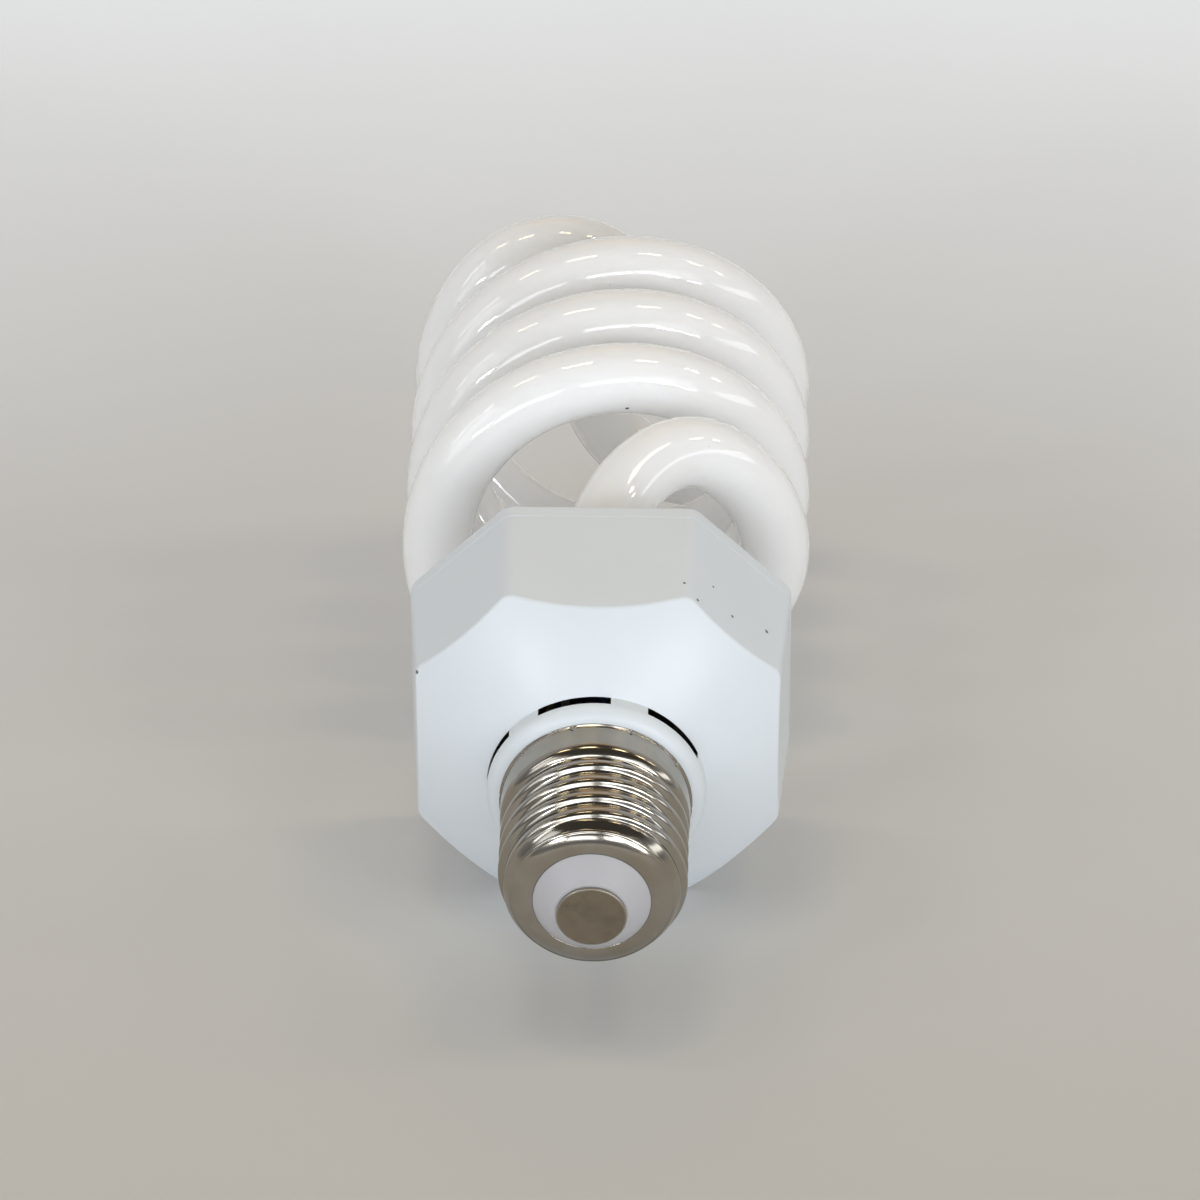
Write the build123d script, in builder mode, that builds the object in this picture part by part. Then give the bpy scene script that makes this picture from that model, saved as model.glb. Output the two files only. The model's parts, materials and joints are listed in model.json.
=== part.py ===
from build123d import *
import os
from math import acos, atan2, degrees, hypot, radians, sqrt, tan

# Compact fluorescent lamp: a double spiral tube on an octagonal ballast housing with an E27 screw cap.
# Lamp frame: Z runs from the centre contact along the axis to the tip of the tube, in millimetres.
# X points right and Y points down when the lamp lies with its cap towards the viewer.
# The finished pieces are laid down at the end, on one housing flat and on the first turn of the coil.

os.makedirs("parts", exist_ok=True)

# Screw cap
contact_r = 4.86
contact_thickness = 0.8
contact_crown = 0.25
rivet_r = 1.6
rivet_length = 4.8
insulator_land = 0.35
insulator_rise = 3.0
insulator_depth = 5.2
insulator_lip = 1.3
mouth_r = 8.1
nose_r = 4.6
shell_wall = 0.35
thread_root_r = 12.05
thread_crest_r = 13.1
thread_pitch = 3.629
thread_length = 12.6
thread_bead_width = 3.0
thread_crest_z = 4.66
thread_run_out = 1.1
thread_margin = 0.1
thread_trim = 0.1
skirt_r = 13.25
skirt_length = 5.6
rim_r = 13.5
rim_height = 0.7
nick_count = 10
nick_r = 0.45
nick_depth = 0.2
nick_angle = -32.0
cap_fit = 0.05

# Ballast housing
wall = 1.6
neck_length = 5.4
collar_r = 15.33
shoulder_rise = 2.2
vent_height = 1.5
vent_count = 6
vent_bridge = 5.4
vent_angle = -72.0
dome_r = 29.0
dome_rise = 10.2
dome_bulge = 0.5
dome_wall = 2.0
flat_length = 16.8
seam_half = 27.0
flat_width = 26.6
housing_draft = 4.4
corner_r = 3.0
dome_edge_r = 0.6

# Tube cover
cover_rim = 2.7
cover_plate = 1.8
cover_edge_r = 0.7
seam_chamfer = 0.2
spigot_depth = 3.0
spigot_wall = 1.2
spigot_fit = 0.1
socket_depth = 4.2
socket_wall = 1.6
socket_fit = 0.15
post_r = 1.6
post_length = 6.6
post_x = 18.5
post_y = 8.0

# Discharge tube
tube_r = 5.15
coil_outer_r = 30.0
coil_pitch = 29.4
coil_start_angle = -45.0
coil_turn_angle = 623.0
foot_r = 17.5
foot_angle = -92.0
foot_depth = 7.1
foot_round = 3.0
leg_rise = 25.2
foot_handle = 14.0
bend_handle = 13.0
tip_rise = 9.0
tip_angle = 92.0
tip_handle = 16.5
cement_height = 1.0
cement_width = 1.5

# Ballast board and what stands on it
board_thickness = 1.6
board_gap = 0.5
part_gap = 1.6
smoothing_r = 6.4
smoothing_length = 21.5
smoothing_groove = 0.5
choke_depth = 5.0
choke_span = 16.0
choke_bar = 2.6
choke_window = 6.4
choke_leg = 4.8
bobbin_wall = 0.6
winding_build = 2.2
toroid_r = 5.0
toroid_bore = 2.8
toroid_height = 4.0
toroid_wire = 0.6
toroid_winding_arc = 55.0
transistor_width = 7.8
transistor_height = 11.0
transistor_thickness = 3.2
transistor_leg = 0.7
transistor_stand = 2.5
resonance_width = 9.0
resonance_height = 9.0
resonance_thickness = 5.0
coupling_width = 8.0
coupling_height = 8.0
coupling_thickness = 4.4
film_round = 1.2
inductor_r = 3.6
inductor_length = 9.0
inductor_waist = 2.4
inductor_flange = 1.2
fuse_r = 1.6
fuse_length = 8.0
start_disc_r = 2.8
start_disc_thickness = 2.0
diode_r = 1.35
diode_length = 5.2
resistor_r = 1.0
resistor_length = 3.6
diac_r = 0.9
diac_length = 3.4
axial_lead_r = 0.35
axial_lead_reach = 1.8
axial_stand = 0.6

# Wires
wire_r = 0.6
wire_bend = 2.5
wire_x = -4.5
wire_y = 8.2
neutral_start = 4.0
pin_r = 0.5
pin_length = 5.0
pin_x = 9.2
lead_r = 0.25
lead_x = 2.0
lead_drop = 0.7
lead_bend = 0.4
wire_fit = 0.05

# Heights along the axis, each one stacked on the last
mouth_z = contact_thickness + insulator_rise
nose_z = mouth_z + nose_r
skirt_z = nose_z + thread_length
cap_z = skirt_z + skirt_length
collar_z = cap_z + shoulder_rise
dome_z = collar_z + vent_height
flat_z = dome_z + dome_rise
seam_z = flat_z + flat_length
cover_z = seam_z + cover_rim
plate_z = cover_z - cover_plate
board_top = plate_z - post_length
board_z = board_top - board_thickness
foot_z = cover_z - foot_depth
coil_z = cover_z + leg_rise

# Sizes that follow from the ones above
thread_z = nose_z - sqrt(nose_r**2 - (thread_root_r - mouth_r) ** 2)
shell_bore = skirt_r - shell_wall
neck_r = shell_bore - cap_fit
neck_bore = neck_r - wall
coil_r = coil_outer_r - tube_r
coil_height = coil_pitch * coil_turn_angle / 360
tip_z = coil_z + coil_height + tip_rise
draft_slope = tan(radians(housing_draft))
corner_share = tan(radians(22.5))
socket_bore = tube_r + socket_fit
socket_r = socket_bore + socket_wall


def octagon(half, flat):
    # A square of four wide flats with its corners cut at 45 degrees
    side = flat / 2
    quarter = [(side, half), (half, side)]
    points = [Vector(*p).rotate(Axis.Z, -90 * k) for k in range(4) for p in quarter]
    with BuildSketch() as section:
        with BuildLine():
            Polyline(*points, close=True)
        make_face()
    return section.sketch


def inset_octagon(inset, height=0.0):
    # The housing section at the seam, moved in by an inset and by its draft at a height below the seam
    shrink = inset + height * draft_slope
    return octagon(seam_half - shrink, flat_width - 2 * inset * corner_share)


def corner_at(inset):
    # The corner radius that keeps a wall even, never sharper than a quarter of the outer one
    return max(corner_r - inset, corner_r / 4)


def rounded_octagon(inset, height=0.0):
    # The inset section with its corners rounded
    with BuildSketch() as section:
        add(inset_octagon(inset, height))
        fillet(section.vertices(), corner_at(inset))
    return section.sketch


def drafted_octagon(plane, depth, inset, draft_angle):
    # The inset section carried along its plane's normal, drafted from that plane, with its long edges rounded
    with BuildPart() as prism:
        with BuildSketch(plane):
            add(inset_octagon(inset))
        extrude(amount=depth)
        draft(prism.faces().filter_by(Axis.Z, reverse=True), plane, draft_angle)
        fillet(prism.edges().filter_by(lambda e: abs(e.tangent_at(0.5).Z) > 0.5), corner_at(inset))
    return prism.part


def drafted_block(inset, dome_offset):
    # The drafted octagon below the seam, ended by the domed front
    seam_plane = Plane((0, 0, seam_z), x_dir=(1, 0, 0), z_dir=(0, 0, -1))
    reach = 1.4 * dome_r
    edge_slope = dome_rise / (dome_r - collar_r)
    far_z = flat_z + (reach - dome_r) * edge_slope
    with BuildPart() as block:
        add(drafted_octagon(seam_plane, seam_z - collar_z, inset, housing_draft))
        with BuildSketch(Plane.XZ):
            with BuildLine():
                rise = SagittaArc(
                    (collar_r, dome_z + dome_offset), (dome_r, flat_z + dome_offset), -dome_bulge
                )
                Polyline(
                    rise @ 1,
                    (reach, far_z + dome_offset),
                    (reach, seam_z + cover_rim),
                    (0, seam_z + cover_rim),
                    (0, dome_z + dome_offset),
                    rise @ 0,
                )
            make_face()
        revolve(axis=Axis.Z, mode=Mode.INTERSECT)
    return block.part


def axial_part(body_r, body_length):
    # A small axial component on bent leads, with its lead ends on the board face at height zero
    span = body_length / 2 + axial_lead_reach
    axis_z = -(axial_stand + body_r)
    with BuildPart() as component:
        with BuildSketch(Plane.YZ.offset(-body_length / 2)):
            with Locations((0, axis_z)):
                Circle(body_r)
        extrude(amount=body_length)
        with BuildLine():
            lead = FilletPolyline(
                (-span, 0, 0), (-span, 0, axis_z), (span, 0, axis_z), (span, 0, 0), radius=2 * axial_lead_r
            )
        with BuildSketch(Plane.XY.offset(0)):
            with Locations((-span, 0)):
                Circle(axial_lead_r)
        sweep(path=lead)
    return component.part


def film_capacitor(width, height, thickness):
    # A dipped film capacitor standing on the board face at height zero
    with BuildPart() as component:
        with BuildSketch():
            Rectangle(width, thickness)
        extrude(amount=-height)
        fillet(component.edges().filter_by(Axis.Z), film_round)
        fillet(component.faces().sort_by(Axis.Z)[0].edges(), film_round / 2)
    return component.part


# Centre contact: a crowned disc with the rivet that the live wire is soldered to
with BuildPart() as centre_contact:
    with BuildSketch(Plane.XZ):
        with BuildLine():
            crown = TangentArc((0, 0), (contact_r, contact_crown), tangent=(1, 0))
            Polyline(
                crown @ 1,
                (contact_r, contact_thickness),
                (rivet_r, contact_thickness),
                (rivet_r, contact_thickness + rivet_length),
                (0, contact_thickness + rivet_length),
                crown @ 0,
            )
        make_face()
    revolve(axis=Axis.Z)

# Cap insulator: a white cone between the contact and the mouth of the shell, with a lip inside
insulator_r = mouth_r - cap_fit
lip_z = mouth_z + shell_wall + insulator_lip * 0.3
with BuildPart() as cap_insulator:
    with BuildSketch(Plane.XZ):
        with BuildLine():
            Polyline(
                (rivet_r + cap_fit, contact_thickness),
                (contact_r + insulator_land, contact_thickness),
                (insulator_r, mouth_z),
                (insulator_r, lip_z),
                (insulator_r + insulator_lip, lip_z),
                (insulator_r + insulator_lip, contact_thickness + insulator_depth),
                (rivet_r + cap_fit, contact_thickness + insulator_depth),
                close=True,
            )
        make_face()
    revolve(axis=Axis.Z)

# Thread of the cap: a rounded bead on a helix, trimmed so that it runs out into the shell at both ends
thread_base = thread_root_r - shell_wall / 2
thread_start = thread_z + thread_margin
thread_end = skirt_z - thread_margin
bead_rise = thread_end - thread_crest_z + thread_bead_width / 2
with BuildPart() as thread_bead:
    with BuildLine():
        thread_path = Helix(thread_pitch, bead_rise, thread_base, center=(0, 0, thread_crest_z))
    with BuildSketch(Plane.XZ):
        with BuildLine():
            crest = ThreePointArc(
                (thread_base, thread_crest_z - thread_bead_width / 2),
                (thread_crest_r, thread_crest_z),
                (thread_base, thread_crest_z + thread_bead_width / 2),
            )
            Line(crest @ 1, crest @ 0)
        make_face()
    sweep(path=thread_path, is_frenet=True)
    with BuildSketch(Plane.XZ):
        with BuildLine():
            Polyline(
                (0, thread_start),
                (thread_base - thread_trim, thread_start),
                (thread_crest_r + thread_trim, thread_start + thread_run_out),
                (thread_crest_r + thread_trim, thread_end - thread_run_out),
                (thread_base - thread_trim, thread_end),
                (0, thread_end),
                close=True,
            )
        make_face()
    revolve(axis=Axis.Z, mode=Mode.INTERSECT)



def nose_arc(inset):
    # The rounded nose from the mouth up to the root of the thread, at an inset from the outer face
    reach = nose_r - inset
    turn = degrees(acos((thread_root_r - inset - mouth_r) / reach))
    return CenterArc((mouth_r, nose_z), reach, -90, 90 - turn)


# Cap shell: thin plated sheet with a rounded nose, the rolled thread, a plain skirt and a crimped rim
with BuildPart() as cap_shell:
    with BuildSketch(Plane.XZ):
        with BuildLine():
            nose = nose_arc(0)
            Polyline(
                nose @ 1,
                (thread_root_r, skirt_z - (skirt_r - thread_root_r)),
                (skirt_r, skirt_z),
                (skirt_r, cap_z - rim_height),
                (rim_r, cap_z),
                (0, cap_z),
                (0, mouth_z),
                nose @ 0,
            )
        make_face()
    revolve(axis=Axis.Z)
    add(thread_bead.part)
    with BuildSketch(Plane.XZ):
        with BuildLine():
            inner_nose = nose_arc(shell_wall)
            Polyline(
                inner_nose @ 1,
                (thread_root_r - shell_wall, skirt_z - (skirt_r - thread_root_r)),
                (shell_bore, skirt_z),
                (shell_bore, cap_z),
                (0, cap_z),
                (0, mouth_z),
                (mouth_r, mouth_z),
                inner_nose @ 0,
            )
        make_face()
    revolve(axis=Axis.Z, mode=Mode.SUBTRACT)
    with BuildPart(Plane.XY.offset(cap_z - rim_height - nick_r), mode=Mode.SUBTRACT):
        with PolarLocations(skirt_r + nick_r - nick_depth, nick_count, start_angle=nick_angle):
            Sphere(nick_r)

# Ballast housing: neck, shoulder, vented collar, domed front and drafted octagon, open at the seam
housing_block = drafted_block(0, 0)
housing_space = drafted_block(wall, dome_wall)
with BuildPart() as ballast_housing:
    add(housing_block)
    fillet(
        ballast_housing.edges().filter_by(lambda e: flat_z - dome_rise / 2 < e.center().Z < flat_z + 1),
        dome_edge_r,
    )
    with BuildSketch(Plane.XZ):
        with BuildLine():
            shoulder = RadiusArc((rim_r, cap_z), (collar_r, collar_z), -shoulder_rise)
            Polyline(
                shoulder @ 1,
                (collar_r, dome_z),
                (collar_r, dome_z + dome_wall),
                (0, dome_z + dome_wall),
                (0, cap_z - neck_length),
                (neck_r, cap_z - neck_length),
                (neck_r, cap_z),
                shoulder @ 0,
            )
        make_face()
    revolve(axis=Axis.Z)
    add(housing_space, mode=Mode.SUBTRACT)
    with BuildSketch(Plane.XY.offset(collar_z - wall / 2)):
        Circle(collar_r - wall)
    extrude(amount=dome_z + 2 * dome_wall - collar_z, mode=Mode.SUBTRACT)
    with BuildSketch(Plane.XY.offset(cap_z - neck_length)):
        Circle(neck_bore)
    extrude(amount=neck_length + shoulder_rise, mode=Mode.SUBTRACT)
    for vent_base, vent_outer, vent_depth in (
        (collar_z, collar_r + wall, vent_height),
        (dome_z, collar_r, 2 * dome_wall),
    ):
        with BuildSketch(Plane.XY.offset(vent_base)):
            Circle(vent_outer)
            Circle(neck_bore, mode=Mode.SUBTRACT)
            with PolarLocations(collar_r, vent_count, start_angle=vent_angle):
                Rectangle(collar_r, vent_bridge, mode=Mode.SUBTRACT)
        extrude(amount=vent_depth, mode=Mode.SUBTRACT)

# Tube cover: the octagonal end plate with its rim, spigot, tube sockets and board posts
foot_points = [
    Vector(foot_r, 0).rotate(Axis.Z, foot_angle + 180 * k) for k in range(2)
]
with BuildPart() as tube_cover:
    add(drafted_octagon(Plane.XY.offset(seam_z), cover_rim, 0, -housing_draft))
    fillet(tube_cover.faces().sort_by(Axis.Z)[-1].edges(), cover_edge_r)
    chamfer(tube_cover.faces().sort_by(Axis.Z)[0].edges(), seam_chamfer)
    with BuildSketch(Plane.XY.offset(seam_z - spigot_depth)):
        add(rounded_octagon(wall + spigot_fit, spigot_depth))
    extrude(amount=spigot_depth)
    with BuildSketch(Plane.XY.offset(seam_z - spigot_depth)):
        add(rounded_octagon(wall + spigot_fit + spigot_wall, spigot_depth))
    extrude(amount=plate_z - seam_z + spigot_depth, mode=Mode.SUBTRACT)
    with BuildSketch(Plane.XY.offset(plate_z)):
        with Locations(*foot_points):
            Circle(socket_r)
    extrude(amount=-socket_depth)
    with BuildSketch(Plane.XY.offset(plate_z)):
        with GridLocations(2 * post_x, 2 * post_y, 2, 2):
            Circle(post_r)
    extrude(amount=-post_length)
    with BuildSketch(Plane.XY.offset(plate_z - socket_depth)):
        with Locations(*foot_points):
            Circle(socket_bore)
    extrude(amount=socket_depth + cover_plate, mode=Mode.SUBTRACT)

# Discharge tube: each half runs from its foot through a bend and the coil to the tip on the axis
foot = Vector(foot_r, 0).rotate(Axis.Z, foot_angle - coil_start_angle)
foot_end = foot + Vector(0, 0, foot_z)
foot_top = foot + Vector(0, 0, cover_z)
tip = Vector(0, 0, tip_z)
tip_heading = Vector(-1, 0).rotate(Axis.Z, coil_turn_angle + tip_angle)
with BuildPart() as half_tube:
    with BuildLine() as tube_path:
        turns = Helix(coil_pitch, coil_height, coil_r, center=(0, 0, coil_z))
        Line(foot_end, foot_top)
        Bezier(
            foot_top,
            foot_top + Vector(0, 0, foot_handle),
            turns @ 0 - (turns % 0) * bend_handle,
            turns @ 0,
        )
        Bezier(
            turns @ 1,
            turns @ 1 + (turns % 1) * tip_handle,
            tip - tip_heading * tip_handle,
            tip,
        )
    with BuildSketch(Plane(foot_end, z_dir=(0, 0, 1))):
        Circle(tube_r)
    sweep(path=tube_path.wire())
    fillet(half_tube.faces().sort_by(Axis.Z)[0].edges(), foot_round)
with BuildPart() as glass_tube:
    with PolarLocations(0, 2, start_angle=coil_start_angle):
        add(half_tube.part)

# Cement that holds the two feet of the tube against their sockets
with BuildPart() as tube_cement:
    with BuildSketch(Plane.XY.offset(plate_z - socket_depth)):
        with Locations(*foot_points):
            Circle(socket_bore + cement_width)
            Circle(socket_bore, mode=Mode.SUBTRACT)
    extrude(amount=-cement_height)

# Ballast board on the posts of the cover
with BuildPart() as circuit_board:
    with BuildSketch(Plane.XY.offset(board_z)):
        add(rounded_octagon(wall + board_gap, seam_z - board_z))
    extrude(amount=board_thickness)

# Smoothing capacitor on the axis, reaching into the neck
with BuildPart() as smoothing_capacitor:
    with BuildSketch(Plane.XY.offset(board_z)):
        Circle(smoothing_r)
    extrude(amount=-smoothing_length)
    fillet(smoothing_capacitor.faces().sort_by(Axis.Z)[0].edges(), smoothing_groove)
    with BuildSketch(Plane.XZ):
        with Locations((smoothing_r, board_z - 2 * smoothing_r / 3)):
            Circle(smoothing_groove)
    revolve(axis=Axis.Z, mode=Mode.SUBTRACT)

# Lamp choke: a pair of E cores on a bobbin with its winding
choke_x = smoothing_r + part_gap + choke_leg / 2 + bobbin_wall + winding_build
choke_height = 2 * choke_bar + choke_window
choke_side = (choke_span - choke_leg) / 2 - bobbin_wall - winding_build - wire_fit
bobbin_half = choke_leg / 2 + wire_fit + bobbin_wall
with BuildPart() as choke_core:
    with BuildSketch(Plane.XY.offset(board_z)):
        with Locations((choke_x, 0)):
            Rectangle(choke_depth, choke_span)
    extrude(amount=-choke_height)
    with BuildSketch(Plane.XY.offset(board_z - choke_bar)):
        with Locations((choke_x, 0)):
            Rectangle(choke_depth, choke_span - 2 * choke_side)
            Rectangle(choke_depth, choke_leg, mode=Mode.SUBTRACT)
    extrude(amount=-choke_window, mode=Mode.SUBTRACT)
with BuildPart() as choke_bobbin:
    flange_half = bobbin_half + winding_build
    with BuildSketch(Plane.XY.offset(board_z - choke_bar)):
        with Locations((choke_x, 0)):
            Rectangle(2 * flange_half, 2 * flange_half)
    extrude(amount=-choke_window)
    with BuildSketch(Plane.XY.offset(board_z - choke_bar - bobbin_wall)):
        with Locations((choke_x, 0)):
            Rectangle(2 * flange_half, 2 * flange_half)
            Rectangle(2 * bobbin_half, 2 * bobbin_half, mode=Mode.SUBTRACT)
    extrude(amount=-(choke_window - 2 * bobbin_wall), mode=Mode.SUBTRACT)
    with BuildSketch(Plane.XY.offset(board_z - choke_bar)):
        with Locations((choke_x, 0)):
            Rectangle(choke_depth + 2 * wire_fit, choke_leg + 2 * wire_fit)
    extrude(amount=-choke_window, mode=Mode.SUBTRACT)
with BuildPart() as choke_winding:
    with BuildSketch(Plane.XY.offset(board_z - choke_bar - bobbin_wall)):
        with Locations((choke_x, 0)):
            RectangleRounded(2 * flange_half, 2 * flange_half, winding_build)
            Rectangle(2 * bobbin_half, 2 * bobbin_half, mode=Mode.SUBTRACT)
    extrude(amount=-(choke_window - 2 * bobbin_wall))

# Drive transformer: a ferrite ring with three windings
toroid_x = -(smoothing_r + part_gap + toroid_r + 2 * toroid_wire)
toroid_plane = Plane((toroid_x, 0, board_z - toroid_wire))
toroid_mid = (toroid_r + toroid_bore) / 2
toroid_build = toroid_r - toroid_bore
with BuildPart() as toroid_core:
    with BuildSketch(toroid_plane):
        Circle(toroid_r)
        Circle(toroid_bore, mode=Mode.SUBTRACT)
    extrude(amount=-toroid_height)
with BuildPart() as toroid_windings:
    toroid_axis = Axis(toroid_plane.origin, (0, 0, 1))
    with BuildSketch(Plane(toroid_plane.origin, x_dir=(1, 0, 0), z_dir=(0, -1, 0))):
        with Locations((toroid_mid, -toroid_height / 2)):
            Rectangle(toroid_build + 2 * toroid_wire, toroid_height + 2 * toroid_wire)
            Rectangle(toroid_build, toroid_height, mode=Mode.SUBTRACT)
    revolve(axis=toroid_axis, revolution_arc=toroid_winding_arc)
    first_winding = toroid_windings.part
    for turn in (120, 240):
        add(first_winding.rotate(toroid_axis, turn))

# Switching transistors, standing on three legs each
transistor_x = -(smoothing_r + transistor_width / 2)
transistor_y = toroid_r + 2 * toroid_wire + part_gap + transistor_thickness / 2 + part_gap
with BuildPart() as transistors:
    with BuildSketch(Plane.XY.offset(board_z - transistor_stand)):
        with GridLocations(0, 2 * transistor_y, 1, 2):
            with Locations((transistor_x, 0)):
                Rectangle(transistor_width, transistor_thickness)
    extrude(amount=-transistor_height)
    with BuildSketch(Plane.XY.offset(board_z)):
        with GridLocations(0, 2 * transistor_y, 1, 2):
            with Locations((transistor_x, 0)):
                with GridLocations(transistor_width / 3, 0, 3, 1):
                    Rectangle(transistor_leg, transistor_leg)
    extrude(amount=-transistor_stand)

# Film capacitors above and below the smoothing capacitor
resonance_x = wire_x + wire_r + part_gap + resonance_width / 2
resonance_y = smoothing_r + part_gap + resonance_thickness / 2
with BuildPart() as resonance_capacitor:
    with Locations((resonance_x, resonance_y, board_z)):
        add(film_capacitor(resonance_width, resonance_height, resonance_thickness))
coupling_x = wire_x + wire_r + part_gap + coupling_width / 2
coupling_y = smoothing_r + part_gap + coupling_thickness / 2
with BuildPart() as coupling_capacitor:
    with Locations((coupling_x, -coupling_y, board_z)):
        add(film_capacitor(coupling_width, coupling_height, coupling_thickness))

# Fusible resistor standing on end in the live side
fuse_x = coupling_x + coupling_width / 2 + part_gap + fuse_r
fuse_y = -(choke_span / 2 + part_gap + fuse_r)
with BuildPart() as fuse_resistor:
    with BuildSketch(Plane.XY.offset(board_z)):
        with Locations((fuse_x, fuse_y)):
            Circle(fuse_r)
    extrude(amount=-fuse_length)
    fillet(fuse_resistor.faces().sort_by(Axis.Z)[0].edges(), fuse_r / 2)

# Starting capacitor: a small ceramic disc on edge
disc_x = choke_x + choke_depth / 2 + part_gap + start_disc_thickness / 2
disc_y = fuse_y
with BuildPart() as starting_capacitor:
    with BuildSketch(Plane.YZ.offset(disc_x - start_disc_thickness / 2)):
        with Locations((disc_y, board_z - start_disc_r)):
            Circle(start_disc_r)
    extrude(amount=start_disc_thickness)

# Two rows of rectifier diodes along the lower flat
diode_span = diode_length + 2 * axial_lead_reach + 2 * axial_lead_r + part_gap
diode_row = resonance_y + resonance_thickness / 2 + part_gap + diode_r
with BuildPart() as rectifier_diodes:
    for row in range(2):
        for side in (-0.5, 0.5):
            row_y = diode_row + row * (2 * diode_r + part_gap / 2)
            with Locations((side * diode_span, row_y, board_z)):
                add(axial_part(diode_r, diode_length))

# Input filter inductor: a drum core standing on end
inductor_x = diode_span + part_gap / 2 + inductor_r
inductor_y = choke_span / 2 + part_gap + inductor_r
with BuildPart() as filter_inductor:
    with BuildSketch(Plane.XY.offset(board_z)):
        with Locations((inductor_x, inductor_y)):
            Circle(inductor_r)
    extrude(amount=-inductor_length)
    with BuildSketch(Plane.XY.offset(board_z - inductor_flange)):
        with Locations((inductor_x, inductor_y)):
            Circle(inductor_r)
            Circle(inductor_waist, mode=Mode.SUBTRACT)
    extrude(amount=-(inductor_length - 2 * inductor_flange), mode=Mode.SUBTRACT)

# A row of small resistors and the trigger diode along the upper flat
resistor_span = resistor_length + 2 * axial_lead_reach + 2 * axial_lead_r + part_gap
resistor_row = -(transistor_y + transistor_thickness / 2 + part_gap + resistor_r)
with BuildPart() as resistors:
    for side in (-1, 0, 1):
        with Locations((side * resistor_span, resistor_row, board_z)):
            add(axial_part(resistor_r, resistor_length))
diac_row = resistor_row - resistor_r - part_gap - diac_r
with BuildPart() as trigger_diode:
    with Locations((0, diac_row, board_z)):
        add(axial_part(diac_r, diac_length))

# Supply wires from the cap to the board
rivet_top = contact_thickness + rivet_length
bend_z = board_z - smoothing_length - part_gap
with BuildPart() as live_wire:
    with BuildLine():
        live_path = FilletPolyline(
            (0, 0, rivet_top),
            (0, 0, (rivet_top + bend_z) / 2),
            (wire_x, -wire_y, bend_z),
            (wire_x, -wire_y, board_z),
            radius=wire_bend,
        )
    with BuildSketch(Plane.XY.offset(rivet_top)):
        Circle(wire_r)
    sweep(path=live_path)
joint_r = thread_root_r - shell_wall - wire_r - wire_fit
joint_share = joint_r / hypot(wire_x, wire_y)
joint_z = nose_z + neutral_start
with BuildPart() as neutral_wire:
    with BuildLine():
        neutral_path = FilletPolyline(
            (wire_x * joint_share, wire_y * joint_share, joint_z),
            (wire_x * joint_share, wire_y * joint_share, (joint_z + skirt_z) / 2),
            (wire_x, wire_y, bend_z),
            (wire_x, wire_y, board_z),
            radius=wire_bend,
        )
    with BuildSketch(Plane.XY.offset(joint_z)):
        with Locations((wire_x * joint_share, wire_y * joint_share)):
            Circle(wire_r)
    sweep(path=neutral_path)

# Wrap pins on the board, and the leads from the ends of the tube to them
with BuildPart() as wrap_pins:
    with BuildSketch(Plane.XY.offset(board_top)):
        for point in foot_points:
            for side in (-1, 1):
                with Locations((point.X + side * pin_x, point.Y)):
                    Circle(pin_r)
    extrude(amount=pin_length)
with BuildPart() as tube_leads:
    lead_z = foot_z - lead_drop
    for point in foot_points:
        for side in (-1, 1):
            start = point + Vector(side * lead_x, 0, foot_z)
            with BuildLine(mode=Mode.PRIVATE):
                lead_path = FilletPolyline(
                    start,
                    start - Vector(0, 0, lead_drop),
                    point + Vector(side * (pin_x - pin_r - wire_fit), 0, lead_z),
                    radius=lead_bend,
                )
            with BuildSketch(Plane(start, z_dir=(0, 0, -1))):
                Circle(lead_r)
            sweep(path=lead_path)

pieces = {
    "centre_contact": centre_contact,
    "cap_insulator": cap_insulator,
    "cap_shell": cap_shell,
    "ballast_housing": ballast_housing,
    "tube_cover": tube_cover,
    "glass_tube": glass_tube,
    "tube_cement": tube_cement,
    "circuit_board": circuit_board,
    "smoothing_capacitor": smoothing_capacitor,
    "choke_core": choke_core,
    "choke_bobbin": choke_bobbin,
    "choke_winding": choke_winding,
    "toroid_core": toroid_core,
    "toroid_windings": toroid_windings,
    "transistors": transistors,
    "resonance_capacitor": resonance_capacitor,
    "coupling_capacitor": coupling_capacitor,
    "filter_inductor": filter_inductor,
    "fuse_resistor": fuse_resistor,
    "starting_capacitor": starting_capacitor,
    "rectifier_diodes": rectifier_diodes,
    "resistors": resistors,
    "trigger_diode": trigger_diode,
    "live_wire": live_wire,
    "neutral_wire": neutral_wire,
    "wrap_pins": wrap_pins,
    "tube_leads": tube_leads,
}

# The lamp lies on the lower flat and on the coil's first pass below the axis
first_pass_z = coil_z + coil_pitch * (90 - coil_start_angle) / 360
front_half = seam_half - flat_length * draft_slope
front_tilt = atan2(coil_outer_r - front_half, first_pass_z - flat_z)
rear_half = seam_half + cover_rim * draft_slope
rear_tilt = atan2(coil_outer_r - rear_half, first_pass_z - cover_z)
rest_tilt = degrees(min(front_tilt, rear_tilt))
lie_down = Location((0, 0, 0), (rest_tilt - 90, 0, 0))
box = glass_tube.part.moved(lie_down).bounding_box()
for piece in (centre_contact, ballast_housing, tube_cover):
    box = box.add(piece.part.moved(lie_down).bounding_box())
to_floor = Location((-box.center().X, -box.center().Y, -box.min.Z))

for name, piece in pieces.items():
    laid = piece.part.moved(to_floor * lie_down)
    laid.label = name
    export_step(laid, f"parts/{name}.step")
print("rest tilt", rest_tilt, "size", box.size)
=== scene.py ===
import json
import math
import bpy
import numpy as np
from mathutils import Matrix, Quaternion, Vector


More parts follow.
